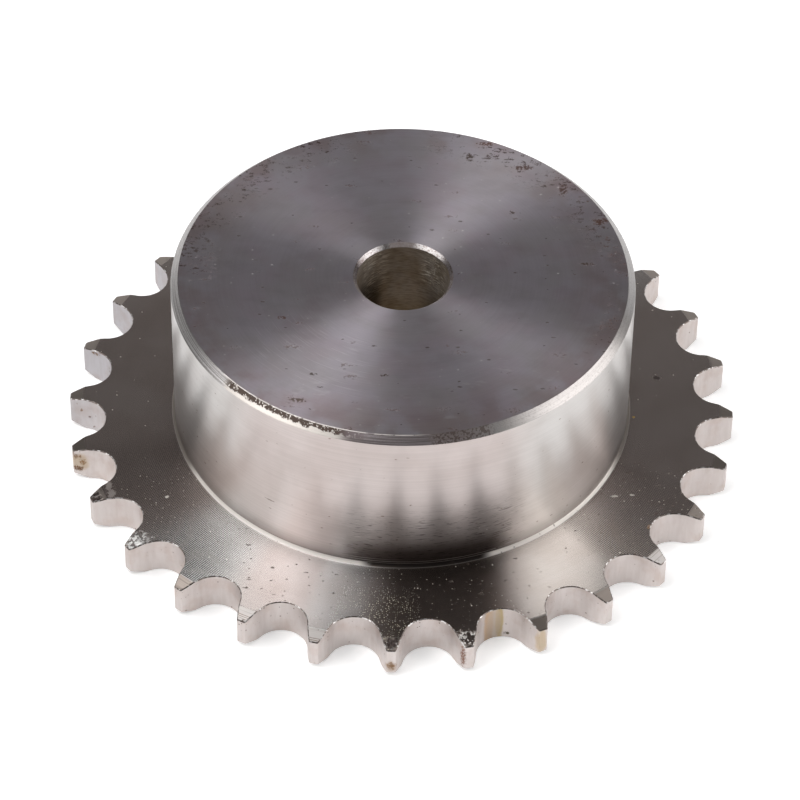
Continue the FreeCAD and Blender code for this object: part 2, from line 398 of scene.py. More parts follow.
def turned_coordinates():
    """Shader group with the coordinates that the marks of turning follow, in millimetres."""
    tree = bpy.data.node_groups.new("turned_coordinates", "ShaderNodeTree")
    coordinates = add_node(tree, "ShaderNodeTexCoord")
    position = add_node(tree, "ShaderNodeVectorMath", {0: coordinates.outputs["Object"], "Scale": 1 / MM},
                        operation="SCALE")
    axes = add_node(tree, "ShaderNodeSeparateXYZ", {0: position})
    flat = add_node(tree, "ShaderNodeCombineXYZ", {0: axes.outputs["X"], 1: axes.outputs["Y"]})
    radius = add_node(tree, "ShaderNodeVectorMath", {0: flat}, operation="LENGTH").outputs["Value"]
    radial = add_node(tree, "ShaderNodeVectorMath", {0: flat}, operation="NORMALIZE")
    across = add_node(tree, "ShaderNodeMath", {0: radius, 1: axes.outputs["Z"]}, operation="SUBTRACT")
    angle = add_node(tree, "ShaderNodeMath", {0: axes.outputs["Y"], 1: axes.outputs["X"]},
                     operation="ARCTAN2")
    around = add_node(tree, "ShaderNodeVectorMath", {0: (0, 0, 1), 1: radial}, operation="CROSS_PRODUCT")
    tangent = add_node(tree, "ShaderNodeVectorTransform", {0: around},
                       vector_type="VECTOR", convert_from="OBJECT", convert_to="WORLD")
    results = {
        "Position": (position, "NodeSocketVector"),
        "Radial": (radial, "NodeSocketVector"),
        "Tangent": (tangent, "NodeSocketVector"),
        "Radius": (radius, "NodeSocketFloat"),
        "Height": (axes.outputs["Z"], "NodeSocketFloat"),
        "Across": (across, "NodeSocketFloat"),
        "Angle": (angle, "NodeSocketFloat"),
    }
    for name, (result, kind) in results.items():
        tree.interface.new_socket(name, in_out="OUTPUT", socket_type=kind)
    add_node(tree, "NodeGroupOutput", {name: result for name, (result, kind) in results.items()})
    return tree


class Finish:
    """A steel finish in the making: its node tree, the part's coordinates and what its shader will take.

    A pattern is a value that varies over the surface. A stretch (pattern, low, high) is a mask that rises
    from 0 at low to 1 at high, and layers go where all of their stretches and masks say. All lengths are in
    millimetres and all angles in degrees, counted around the bore from X.
    """

    def __init__(self, name, coordinates, colour, roughness):
        self.material = bpy.data.materials.new(name)
        self.material.use_nodes = True
        self.tree = self.material.node_tree
        self.tree.nodes.clear()
        self.part = self.add("ShaderNodeGroup", node_tree=coordinates).outputs
        plain = self.add("ShaderNodeRGB")
        plain.outputs[0].default_value = (*colour, 1)
        self.surface = {"Base Color": plain, "Metallic": 1.0, "Roughness": roughness}
        self.heights = []
        self.grains = {}

    def add(self, kind, inputs=(), **settings):
        return add_node(self.tree, kind, inputs, **settings)

    def mottle(self, size, detail=3.0, offset=(0, 0, 0), stretch=(1, 1, 1)):
        """Noise between 0 and 1 in patches of this size, longer along each axis by the stretch."""
        scale = [1 / (size * longer) for longer in stretch]
        moved = self.add("ShaderNodeVectorMath", {0: self.part["Position"], 1: scale, 2: offset},
                         operation="MULTIPLY_ADD")
        return self.add("ShaderNodeTexNoise", {"Vector": moved, "Scale": 1.0, "Detail": detail,
                                               "Roughness": 0.55})

    def grooves(self, spacing, turn, detail=2.0, offset=0.0):
        """Noise drawn out around the bore: a groove to this spacing, the longer the smaller the turn."""
        along = self.add("ShaderNodeVectorMath", {0: self.part["Radial"], "Scale": turn}, operation="SCALE")
        step = self.add("ShaderNodeMath", {0: self.part["Across"], 1: 1 / spacing, 2: offset},
                        operation="MULTIPLY_ADD")
        across = self.add("ShaderNodeCombineXYZ", {"Z": step})
        vector = self.add("ShaderNodeVectorMath", {0: along, 1: across}, operation="ADD")
        return self.add("ShaderNodeTexNoise", {"Vector": vector, "Scale": 1.0, "Detail": detail})

    def specks(self, spacing, size, share, offset=(0, 0, 0), stretch=(1, 1, 1), ragged=1.0, flat=True):
        """Mask of specks up to this radius: one to a cell of this spacing, in this share of the cells."""
        scale = [1 / (spacing * longer) for longer in stretch]
        cell = self.add("ShaderNodeVectorMath", {0: self.part["Position"], 1: scale, 2: offset},
                        operation="MULTIPLY_ADD")
        if ragged:
            wobble = self.add("ShaderNodeTexNoise", {"Vector": cell, "Scale": 1.5 * spacing / size,
                                                     "Detail": 1.0})
            cell = self.add("ShaderNodeVectorMath",
                            {0: wobble.outputs["Color"], 1: [ragged * size / spacing] * 3, 2: cell},
                            operation="MULTIPLY_ADD")
        cells = self.add("ShaderNodeTexVoronoi", {"Vector": cell, "Scale": 1.0},
                         voronoi_dimensions="2D" if flat else "3D")
        lot = self.add("ShaderNodeSeparateColor", {0: cells.outputs["Color"]})
        chosen = self.add("ShaderNodeMath", {0: lot.outputs[0], 1: share}, operation="LESS_THAN")
        reach = self.add("ShaderNodeMapRange", {0: lot.outputs[1], 3: 0.25 * size / spacing,
                                                4: size / spacing})
        nearness = self.add("ShaderNodeMath", {0: cells.outputs["Distance"], 1: reach}, operation="DIVIDE")
        return self.mask([(nearness, 1.0, 0.5), chosen])

    def blot(self, place, size, stretch=(1, 1, 1), grain=0.35, ragged=1.6):
        """Mask around a place, longer along each axis by the stretch, its edge broken up at this grain."""
        if grain not in self.grains:
            self.grains[grain] = self.mottle(grain, 4.0)
        away = self.add("ShaderNodeVectorMath", {0: self.part["Position"], 1: place}, operation="SUBTRACT")
        scaled = self.add("ShaderNodeVectorMath", {0: away, 1: [size * longer for longer in stretch]},
                          operation="DIVIDE")
        distance = self.add("ShaderNodeVectorMath", {0: scaled}, operation="LENGTH").outputs["Value"]
        edge = self.add("ShaderNodeMath", {0: self.grains[grain], 1: -ragged, 2: distance},
                        operation="MULTIPLY_ADD")
        return self.mask([(edge, 0.95 - ragged / 2, 0.55 - ragged / 2)])

    def arc(self, middle, half_width, fade):
        """Mask of a stretch of the circumference."""
        direction = (math.cos(math.radians(middle)), math.sin(math.radians(middle)), 0)
        facing = self.add("ShaderNodeVectorMath", {0: self.part["Radial"], 1: direction},
                          operation="DOT_PRODUCT").outputs["Value"]
        return self.mask([(facing, math.cos(math.radians(half_width + fade)),
                           math.cos(math.radians(half_width)))])

    def mask(self, stretches):
        """Multiply masks and stretches together."""
        product = None
        for stretch in stretches:
            if isinstance(stretch, tuple):
                pattern, low, high = stretch
                stretch = self.add("ShaderNodeMapRange", {0: pattern, 1: low, 2: high},
                                   interpolation_type="SMOOTHSTEP")
            if product:
                stretch = self.add("ShaderNodeMath", {0: product, 1: stretch}, operation="MULTIPLY")
            product = stretch
        return product

    def either(self, *masks):
        """The larger of some masks."""
        largest = masks[0]
        for other in masks[1:]:
            largest = self.add("ShaderNodeMath", {0: largest, 1: other}, operation="MAXIMUM")
        return largest

    def lay(self, stretches, code, roughness=None, metallic=None, strength=1.0, blend="MIX"):
        """Lay a colour over the surface: a deposit, or a painted highlight or shade. What isn't given stays as
        it is underneath.
        """
        share = self.add("ShaderNodeMath", {0: self.mask(stretches), 1: strength}, operation="MULTIPLY")
        under = self.surface
        under["Base Color"] = self.add(
            "ShaderNodeMix", {0: share, 6: under["Base Color"], 7: (*srgb(code), 1)},
            data_type="RGBA", blend_type=blend).outputs[2]
        for name, value in (("Roughness", roughness), ("Metallic", metallic)):
            if value is not None:
                under[name] = self.add("ShaderNodeMix", {0: share, 2: under[name], 3: value})

    def tint(self, stretches, code, strength=1.0):
        """Multiply the colour by another."""
        self.lay(stretches, code, strength=strength, blend="MULTIPLY")

    def emboss(self, pattern, height):
        """Raise the surface by a pattern."""
        self.heights.append((pattern, height))

    def finish(self, anisotropy=0.0):
        """Add the shader. With anisotropy its grooves run around the bore and spread the light across."""
        total = 0.0
        for pattern, height in self.heights:
            total = self.add("ShaderNodeMath", {0: pattern, 1: height, 2: total}, operation="MULTIPLY_ADD")
        bump = self.add("ShaderNodeBump", {"Height": total, "Distance": MM})
        inputs = {**self.surface, "Anisotropic": anisotropy, "Normal": bump}
        if anisotropy:
            quarter_turn = 0.25
            inputs.update({"Anisotropic Rotation": quarter_turn, "Tangent": self.part["Tangent"]})
        shader = self.add("ShaderNodeBsdfPrincipled", inputs)
        self.add("ShaderNodeOutputMaterial", {"Surface": shader})
        return self.material


# Marks are listed in millimetres: place, size, how much longer along each axis, and colour.
PLATE_MARKS = [
    ((34.0, 5.9, 5.3), 0.5, (1.3, 1, 1), "#2b211d"),
    ((28.1, -16.4, 5.3), 0.35, (1.8, 0.7, 1), "#c9c3bb"),
    ((30.4, -16.1, 5.3), 0.3, (1.4, 0.7, 1), "#c9c3bb"),
    ((-29.8, -18.8, 5.3), 0.3, (1, 1, 1), "#dcd6cc"),
    ((-37.5, -17.1, 5.3), 0.6, (0.9, 1.5, 1), "#938b87"),
    ((-37.0, -18.5, 5.3), 0.6, (1.0, 1.5, 1), "#938b87"),
    ((-36.3, -19.7, 5.3), 0.55, (1.4, 1.3, 1), "#938b87"),
    ((30.8, -1.7, 5.3), 0.25, (1, 1, 1), "#b3924a"),
    ((32.7, -21.8, 5.2), 0.5, (1, 1, 1), "#7d5a35"),
]

# Teeth whose rim bevel was torn: place, size, dark tone, light tone painted as glints on the crumpled metal,
# and the crumple that parts them.
TORN_EDGES = [
    ((0.0, -43.0, 4.9), 1.1, "#4b4340", "#a8a19d", 0.58),
    ((9.5, -41.7, 4.9), 1.5, "#4b4340", "#dcd7d3", 0.5),
    ((-39.4, -18.9, 4.9), 1.3, "#3f3734", "#8f8885", 0.55),
    ((-33.1, -26.4, 4.9), 1.8, "#77716e", "#d4d2d0", 0.47),
]

# Brown marks on the hub's end face.
END_MARKS = [
    ((-12.5, -23.4, 28), 0.9, (1.5, 0.6, 1), "#4f3f38"),
    ((-10.8, -18.6, 28), 0.55, (1.2, 0.6, 1), "#3d322d"),
    ((-1.8, -18.5, 28), 0.55, (1.3, 0.6, 1), "#453833"),
    ((-15.3, -8.5, 28), 0.6, (1.3, 0.6, 1), "#4b3630"),
    ((-9.8, -20.9, 28), 0.4, (1.2, 0.6, 1), "#3d322d"),
    ((13.9, 12.8, 28), 0.6, (0.9, 0.9, 1), "#3d2f2a"),
    ((23.8, 3.2, 28), 0.8, (1.6, 0.5, 1), "#453833"),
    ((8.2, 23.6, 28), 0.8, (0.8, 1.3, 1), "#3d2f2a"),
    ((10.2, 26.4, 28), 0.9, (1.6, 0.6, 1), "#4f342b"),
    ((15.3, 21.8, 28), 1.0, (1.6, 0.7, 1), "#45302a"),
    ((20.6, 17.5, 28), 1.1, (0.7, 1.3, 1), "#45302a"),
    ((25.5, 11.6, 28), 1.1, (1.4, 0.7, 1), "#4a332b"),
]

# Soft stains in the tooth gaps, with their strength.
STAINS = [
    ((-41.9, -10.5, 2.8), 1.6, (1, 1, 1.2), "#cdb592", 0.55),
    ((12.1, -37.3, 2.8), 0.9, (1, 1, 6), "#cdae8c", 0.8),
    ((13.5, -36.8, 3.2), 0.7, (1, 1, 6), "#cdb785", 0.85),
    ((12.8, -37.0, 2.8), 1.3, (1, 1, 3), "#cdbcab", 0.6),
    ((18.8, -39.4, 2.6), 0.9, (1, 1, 4), "#c9b087", 0.6),
    ((0.0, -43.7, 1.9), 0.9, (1, 1, 1.4), "#b3997f", 0.6),
    ((-34.4, -25.4, 3.0), 0.9, (1, 1, 1), "#c2ab94", 0.6),
]

# Crumbs of rust in the tooth gaps.
RUST = [
    ((-42.3, -10.0, 3.9), 0.8, (1.2, 1.0, 0.9), "#855a30"),
    ((-41.6, -10.7, 2.9), 0.6, (0.9, 0.9, 1.3), "#976c3c"),
    ((-42.1, -10.3, 1.7), 0.8, (1.1, 1.0, 0.8), "#7b522c"),
    ((-41.3, -1.6, 2.3), 0.35, (1, 1, 1), "#6b5146"),
    ((-42.5, -1.3, 3.2), 0.4, (0.7, 1, 1), "#87684a"),
    ((-43.1, -1.2, 4.1), 0.35, (0.7, 1, 1), "#87684a"),
    ((-40.8, -1.8, 0.7), 0.3, (1, 1, 1), "#6b5146"),
    ((-41.5, 8.0, 4.8), 0.7, (1.4, 1, 0.5), "#80603f"),
    ((8.9, -42.8, 2.8), 0.9, (0.8, 0.8, 2.6), "#7d4a2e"),
    ((0.0, -43.7, 1.9), 0.8, (1, 1, 1.2), "#94704e"),
    ((14.5, -36.7, 0.8), 0.4, (1.3, 1, 0.8), "#5a5136"),
]


def faced_steel(coordinates, colours):
    """Carbon steel faced on a lathe: a soft turned sheen, a cloudy oil film, brown specks near the rim.

    The tool's real feed is about 0.1 mm, too fine to show, so the rings are drawn at 0.25 mm and the
    arcs painted bright as a highlight at 0.16 mm.
    """
    steel = Finish("faced_steel", coordinates, colours.hub_end, 0.3)
    radius = steel.part["Radius"]
    rings = steel.grooves(0.25, 1.6)
    steel.tint([(rings, 0.35, 0.7)], "#e4e4e4", 0.2)
    steel.tint([(steel.mottle(8.0), 0.42, 0.6)], "#ecede0", 0.3)
    steel.tint([(steel.mottle(7.0, 3.0, (5, 0, 0)), 0.45, 0.62)], "#f6e6ea", 0.3)
    steel.tint([(steel.mottle(2.2, 4.0, (0, 7, 0), (1.8, 1, 1)), 0.45, 0.7)], "#dedada", 0.3)
    near_rim = (radius, 20.0, 29.0)
    steel.tint([near_rim, (steel.mottle(5.0, 4.0, (9, 5, 0)), 0.4, 0.62)], "#e2d2c8", 0.6)

    # Arcs of the tool at the front left, painted bright as a highlight, and wiped swirls at the front.
    arcs = steel.grooves(0.16, 5.0, 2.0, 40.0)
    middle = [(radius, 11, 15), (radius, 26, 22)]
    steel.lay([steel.arc(-125, 18, 12), *middle, (arcs, 0.55, 0.7)], "#dedade", strength=0.35)
    swirls = steel.mottle(1.1, 4.0, (3, 3, 3), (3.0, 1, 1))
    off_bore = (radius, 12, 16)
    steel.lay([steel.arc(-84, 36, 12), off_bore, (swirls, 0.62, 0.72)], "#d2ced0", strength=0.35)

    # Crumbs of oxide near the rim: dense at the back, sparse at the right.
    crumbs = steel.specks(0.6, 0.34, 0.65, (3, 3, 0), (1.5, 0.8, 1), 3.5)
    back = steel.either(steel.arc(146, 34, 8), steel.arc(48, 30, 10))
    dense = (steel.mottle(2.4, 2.0, (0, 17, 0)), 0.42, 0.52)
    steel.lay([crumbs, dense, (radius, 22.5, 26.5), back], "#33211c", 0.5, 0.3)
    sparse = (steel.mottle(1.5, 2.0, (9, 0, 0)), 0.5, 0.58)
    steel.lay([crumbs, sparse, (radius, 25.0, 28.0), steel.arc(10, 34, 10)], "#4a3530", 0.5, 0.3, 0.9)

    # Smudges, dark dots and pale dots all over, and the single marks.
    smudges = steel.specks(4.4, 0.9, 0.4, (11, 0, 0), (1.5, 0.6, 1), 1.5)
    steel.lay([smudges, (steel.mottle(0.5, 3.0), 0.45, 0.6)], "#4a342e", 0.5, 0.4, 0.75)
    steel.lay([steel.specks(2.6, 0.3, 0.2, (7, 2, 0), (1.4, 0.7, 1))], "#3a2b27", 0.5, 0.4, 0.85)
    steel.lay([steel.specks(1.9, 0.15, 0.22, (0, 23, 0), (1.3, 0.8, 1))], "#d6d2d0", 0.7, 0.3, 0.45)
    crumbly = (steel.mottle(0.35, 4.0, (0, 0, 9)), 0.42, 0.5)
    for place, size, stretch, code in END_MARKS:
        steel.lay([steel.blot(place, size, stretch), crumbly], code, 0.55, 0.3)
    steel.emboss(rings, 0.0006)
    return steel.finish(anisotropy=0.95)


def turned_steel(coordinates, colours):
    """Carbon steel turned on the hub's outside: a smooth sheen in faint rings, small nicks, fine scratches.

    The rings are finer than 0.1 mm on the real wall, and are drawn at 0.25 mm so that they show.
    """
    steel = Finish("turned_steel", coordinates, colours.steel, 0.29)
    height = steel.part["Height"]
    rings = steel.grooves(0.25, 1.4)
    steel.tint([(rings, 0.35, 0.7)], "#ecebea", 0.4)
    steel.tint([(steel.mottle(7.0), 0.35, 0.65)], "#f1efee", 0.8)
    # Painted shade: the wall darkens towards the plate all round.
    shade_near_plate = (height, 8.6, 5.6)
    steel.tint([shade_near_plate], "#c6c4c3")
    steel.tint([steel.arc(-95, 26, 18)], "#f7eeed")

    # Scratches on the lower front, with painted shade darkening it towards the plate, and a few lines painted
    # bright as highlights where it ends.
    scratches = steel.grooves(0.15, 22.0, 2.0, 30.0)
    low_front = [(height, 17.0, 12.0), steel.arc(-80, 16, 10)]
    steel.lay([(scratches, 0.62, 0.72), *low_front], "#f4f0ec", strength=0.35)
    # Painted shade darkens the lower front between the scratches, and more towards the plate.
    steel.tint([(scratches, 0.42, 0.34), *low_front], "#8f8884", 0.7)
    front = steel.arc(-82, 15, 7)
    steel.tint([front, (height, 10.5, 7.5)], "#a09a97")
    # Painted highlights: a few bright lines just above the foot.
    lines = [(height, 6.9, 6.5), (steel.grooves(0.2, 0.7, 0.0, 60.0), 0.6, 0.66)]
    steel.lay([front, *lines], "#d9d2cc", 0.5, strength=0.6)

    nicks = steel.specks(1.1, 0.17, 0.5, (7, 0, 3), (1.5, 1.5, 0.8), 1.5, flat=False)
    steel.lay([nicks], "#7d685e", 0.5, 0.6, 0.85)
    dents = steel.specks(2.6, 0.42, 0.3, (0, 19, 3), (1.6, 1.6, 0.5), 2.0, flat=False)
    steel.lay([dents], "#55433a", 0.5, 0.5, 0.85)
    chips = steel.specks(0.4, 0.12, 0.8, (0, 0, 5), ragged=0.5, flat=False)
    steel.lay([steel.blot((11.0, -27.9, 10.2), 1.3, (1, 1, 0.8)), chips], "#efe9e3", 0.7, 0.3, 0.8)
    scrape = steel.blot((-16.0, -25.3, 12.0), 0.8, (1.2, 1.2, 0.2), 0.4)
    steel.lay([scrape], "#6a5a52", 0.5, 0.5, 0.6)
    steel.emboss(rings, 0.0008)
    return steel.finish(anisotropy=0.6)


def bevelled_steel(coordinates, colours):
    """Steel of the turned bevels: a bright band in fine ridges, with brown oxide along the hub's edge.

    The ridges are finer than 0.1 mm on the real bevels, and are drawn at 0.16 mm so that they show.
    """
    steel = Finish("bevelled_steel", coordinates, colours.bevel, 0.38)
    radius, across = steel.part["Radius"], steel.part["Across"]
    ridges = steel.grooves(0.16, 2.0)
    grain = steel.mottle(0.2, 3.0)
    steel.tint([(ridges, 0.4, 0.65)], "#cccaca", 0.35)
    steel.tint([(ridges, 0.45, 0.6), steel.arc(-155, 22, 8)], "#a9a5a3", 0.6)
    steel.tint([(grain, 0.5, 0.7)], "#c4c0be", 0.6)

    at_bore = (radius, 21.0, 20.0)
    # Painted shade darkens the bore's bevels at the left and right.
    shaded_sides = steel.either(steel.arc(0, 22, 22), steel.arc(180, 22, 22))
    steel.tint([at_bore, shaded_sides], "#cdc6c6")
    steel.tint([at_bore, (grain, 0.4, 0.65)], "#d0c4c2")
    steel.lay([at_bore, steel.arc(93, 11, 8)], "#766c6a", 0.6, 0.0, 0.8)
    on_hub = (radius, 20.0, 21.0)
    steel.tint([on_hub, steel.arc(-38, 24, 6)], "#efecea")

    # The oxide streak hangs from the hub bevel's upper edge, at 1.05 mm across, with a ragged lower edge.
    wander = steel.mottle(0.9, 4.0, (0, 3, 0), (1.4, 1.4, 0.7))
    ragged = steel.add("ShaderNodeMath", {0: wander, 1: 2.4, 2: across}, operation="MULTIPLY_ADD")
    crusted = [(ragged, 3.5, 3.25), (steel.mottle(0.3, 3.0, (4, 0, 0)), 0.36, 0.44)]
    streak = steel.arc(-117.5, 18, 3)
    steel.lay([on_hub, streak], "#d3cbc3", 0.5, strength=0.7)
    steel.lay([on_hub, streak, *crusted], "#4b3a31", 0.55, 0.2)

    # Right of it the bevel is striped, then crumbled, and a painted highlight runs along its upper edge.
    striped = steel.arc(-87, 13, 5)
    steel.lay([on_hub, striped], "#93878a", 0.45, 0.8, 0.7)
    steel.lay([on_hub, striped, (ridges, 0.46, 0.56)], "#564d4c", 0.5, 0.6, 0.75)
    crumbled = steel.arc(-74, 6, 3)
    steel.lay([on_hub, crumbled], "#938885", 0.45, 0.8, 0.6)
    crumbs = (steel.mottle(0.3, 3.0, (0, 0, 6)), 0.48, 0.56)
    steel.lay([on_hub, crumbled, crumbs], "#4d403b", 0.5, 0.4, 0.85)
    upper_edge_highlight = [(across, 1.24, 1.14), (steel.mottle(1.5), 0.35, 0.45)]
    steel.lay([on_hub, steel.arc(-112, 24, 8), *upper_edge_highlight], "#ece6e1", 0.5, strength=0.85)
    steel.emboss(ridges, 0.0015)
    steel.emboss(grain, 0.002)
    return steel.finish(anisotropy=0.8)


def plate_steel(coordinates, colours):
    """Steel of the plate, turned with chatter: crossing spiral lines, dark pits, pale dust, torn tooth edges.

    The real lines lie about 0.27 mm apart, and are drawn at 0.5 mm so that they show. The rings of the
    tool's feed, about 0.1 mm, are drawn at 0.3 mm.
    """
    steel = Finish("plate_steel", coordinates, colours.plate, 0.25)
    radius, height, angle = (steel.part[name] for name in ("Radius", "Height", "Angle"))
    spacing, middle_radius = 0.5, 35
    lines_around = round(math.tau * middle_radius / spacing)
    waves = []
    for direction in (1, -1):
        turn = steel.add("ShaderNodeMath", {0: angle, 1: direction * lines_around}, operation="MULTIPLY")
        inward = steel.add("ShaderNodeMath", {0: radius, 1: math.tau / spacing, 2: turn},
                           operation="MULTIPLY_ADD")
        waves.append(steel.add("ShaderNodeMath", {0: inward}, operation="SINE"))
    hatch = steel.add("ShaderNodeMath", {0: waves[0], 1: waves[1]}, operation="MULTIPLY")
    left, right = steel.arc(-143, 13, 14), steel.arc(-33, 9, 6)
    hatched = steel.mask([steel.either(left, right), (hatch, -0.8, 0.8)])
    # Painted highlights: pale bands on the face at the front left and front right.
    steel.lay([steel.either(steel.arc(-131, 4, 9), steel.arc(-101, 2, 5))], "#d2d4d4")
    steel.lay([steel.arc(-51, 8, 10)], "#d3cdc8")
    steel.tint([hatched], "#7d7874", 0.8)
    steel.tint([(steel.mottle(8.0), 0.35, 0.65)], "#f1eeec", 0.8)
    # Painted shade: darker at the front, and at the left and right.
    steel.tint([steel.arc(-80, 8, 8)], "#d2c9c3")
    steel.tint([steel.either(steel.arc(0, 26, 22), steel.arc(180, 32, 20))], "#e6dbd7")
    rings = steel.grooves(0.3, 1.0)
    steel.tint([(rings, 0.35, 0.7)], "#e2e0de", 0.15)

    # The rim's bevel starts at 42.2 mm, and is darker than the face, with painted highlights along a few tool
    # lines at the front.
    rim = (radius, 42.05, 42.45)
    steel.lay([rim], "#988e87", 0.34)
    tool_lines = steel.grooves(0.17, 3.0, 2.0, 10.0)
    steel.tint([rim, (tool_lines, 0.45, 0.6), steel.arc(-118, 24, 8)], "#b5afac", 0.5)
    lit = steel.either(steel.arc(-112, 10, 4), steel.arc(-38, 5, 3))
    steel.lay([rim, lit, (tool_lines, 0.66, 0.56)], "#d6d1ce", 0.6, 0.6, 0.8)

    # The round at the hub's foot is all that rises above the plate's face, at 5.3 mm. It is painted cream as
    # a highlight, with painted shade at the front and at the left and right.
    foot = (height, 5.31, 5.36)
    steel.lay([foot], "#ece6e0", 0.6, 0.55)
    steel.lay([foot, steel.arc(-82, 13, 4)], "#59524e", 0.34, 1.0)
    steel.lay([foot, steel.either(steel.arc(178, 24, 10), steel.arc(4, 20, 10))], "#928a83", 0.5, 0.8)

    # Pits show where the plate shines, and dust where it is dark.
    bright = steel.either(steel.arc(-118, 20, 10), steel.arc(-48, 22, 10))
    fine_pits = steel.specks(1.1, 0.15, 0.4, (5, 5, 0), (1.4, 0.8, 1), 2.5)
    steel.lay([bright, fine_pits], "#5a4b42", 0.5, 0.6, 0.85)
    pits = steel.specks(2.7, 0.34, 0.25, (9, 1, 0), (1.4, 0.7, 1), 2.0)
    steel.lay([bright, pits], "#4d4038", 0.5, 0.5, 0.85)
    drift = [(radius, 33.0, 36.5), steel.arc(-93, 5, 4), (steel.mottle(1.8, 2.0, (0, 31, 0)), 0.35, 0.5)]
    steel.lay([steel.specks(0.27, 0.08, 0.65, (2, 0, 0), ragged=0.0), *drift], "#cfc8ae", 0.8, 0.0, 0.85)
    dark = steel.either(steel.arc(-85, 14, 6), steel.arc(-24, 3, 5), steel.arc(-149, 3, 6))
    steel.lay([dark, steel.specks(0.8, 0.085, 0.35, (4, 8, 0), ragged=0.0)], "#cfc8b8", 0.8, 0.0, 0.7)
    steel.lay([steel.specks(2.4, 0.13, 0.3, (0, 2, 0))], "#c9c2b6", 0.8, 0.0, 0.7)
    for place, size, stretch, code in PLATE_MARKS:
        steel.lay([steel.blot(place, size, stretch, 0.3)], code, 0.6, 0.3, 0.85)
    for place, size, dark_code, glint_code, share in TORN_EDGES:
        torn = steel.blot(place, size, (1.2, 0.9, 1), 0.5)
        steel.lay([torn], dark_code, 0.34)
        crumple = steel.mottle(0.45, 3.0, place)
        # The light tone is painted glints on the crumple.
        steel.lay([torn, (crumple, share, share + 0.06)], glint_code, 0.32)
        steel.emboss(steel.mask([torn, (crumple, 0.3, 0.7)]), 0.08)
    steel.emboss(hatched, -0.014)
    steel.emboss(rings, 0.0006)
    return steel.finish(anisotropy=0.93)


def hobbed_steel(coordinates, colours):
    """Steel left satin by the hob in the tooth gaps, with specks, soft stains and the first orange rust."""
    steel = Finish("hobbed_steel", coordinates, colours.flank, 0.5)
    streaks = steel.mottle(0.6, 3.0, (0, 0, 0), (1, 1, 5))
    steel.tint([(streaks, 0.35, 0.65)], "#efebe9", 0.4)
    steel.tint([steel.arc(155, 22, 12)], "#e6ebf2")
    steel.tint([(steel.mottle(2.5, 4.0), 0.45, 0.7)], "#f2e9e4", 0.6)
    steel.lay([steel.specks(1.1, 0.18, 0.45, (5, 9, 0), flat=False)], "#7d695e", 0.6, 0.4, 0.85)
    upper_front = [(steel.part["Height"], 2.2, 4.2), steel.arc(-95, 34, 16)]
    dots = steel.specks(0.5, 0.14, 0.5, (0, 6, 2), flat=False)
    steel.lay([dots, *upper_front], "#6b584e", 0.6, 0.4)
    for place, size, stretch, code, strength in STAINS:
        steel.lay([steel.blot(place, size, stretch, 1.2, 0.7)], code, 0.6, 0.3, strength)
    crumbly = (steel.mottle(0.24, 4.0, (0, 0, 9)), 0.4, 0.5)
    for place, size, stretch, code in RUST:
        steel.lay([steel.blot(place, size, stretch), crumbly], code, 0.7, 0.1, 0.9)
    steel.emboss(streaks, 0.0015)
    return steel.finish()


def bore_steel(coordinates, colours):
    """Steel of the drilled bore: olive brown, painted darker further down as shade, finely scored around,
    with bright scratches at its mouth.

    The scores are finer than 0.1 mm in the real bore, and are drawn at 0.16 mm so that they show.
    """
    steel = Finish("bore_steel", coordinates, colours.bore, 0.42)
    height = steel.part["Height"]
    scores = steel.grooves(0.16, 5.0, 3.0)
    steel.tint([(scores, 0.4, 0.65)], "#c4bab0", 0.6)
    steel.tint([(steel.mottle(2.5), 0.4, 0.65)], "#e6dfd2", 0.8)
    steel.tint([steel.arc(156, 26, 16), (height, 25.5, 20.5)], "#989694")
    # Painted shade: darker further down the bore.
    shade_down_bore = (height, 21.0, 16.0)
    steel.tint([shade_down_bore], "#e4dccb")
    scratches = (steel.grooves(0.16, 5.0, 3.0, 20.0), 0.5, 0.64)
    back = steel.either(steel.arc(130, 14, 10), steel.arc(46, 16, 12))
    bright = steel.mask([back, scratches, (height, 19.0, 24.0)])
    steel.lay([bright], "#f2e9dc", strength=0.9)
    steel.emboss(bright, 0.014)
    steel.emboss(scores, 0.003)
    return steel.finish(anisotropy=0.5)


def broken_edge(coordinates, colours):
    """Steel of the deburred edges around the teeth: a thin ragged line, dark with bright nicks."""
    steel = Finish("broken_edge", coordinates, colours.steel, 0.42)
    nicks = steel.mottle(0.45, 4.0)
    steel.tint([(nicks, 0.62, 0.48)], "#857b76")
    steel.emboss(nicks, 0.03)
    return steel.finish()


FINISHES = (faced_steel, turned_steel, bevelled_steel, plate_steel, hobbed_steel, bore_steel, broken_edge)


class OBJECT_OT_sprocket_body(bpy.types.Operator):
    """Turn, bore and hob the sprocket out of one piece of steel"""

    bl_idname = "object.sprocket_body"
    bl_label = "Chain Sprocket"

    def execute(self, context):
        sizes = context.scene.sprocket_sizes
        colours = context.scene.sprocket_colours
        coordinates = turned_coordinates()
        materials = [finish(coordinates, colours) for finish in FINISHES]
        piece = bpy.data.objects.new("turned_sprocket", sector_mesh(sizes))
        context.scene.collection.objects.link(piece)
        tree = repeat_tree(materials)
        sockets = {item.name: item.identifier for item in tree.interface.items_tree if item.in_out == "INPUT"}
        modifier = piece.modifiers.new("repeat", "NODES")
        modifier.node_group = tree
        modifier[sockets["Teeth"]] = sizes.teeth
        modifier[sockets["Weld distance"]] = WELD
        mesh = to_plain_mesh(piece)
        mesh.attributes.remove(mesh.attributes["finish"])
        make_outward(mesh)
        mesh.shade_smooth()
        mesh.set_sharp_from_angle(angle=SHARP)
        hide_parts(NODE)
        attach(piece, BODY)
        return {"FINISHED"}


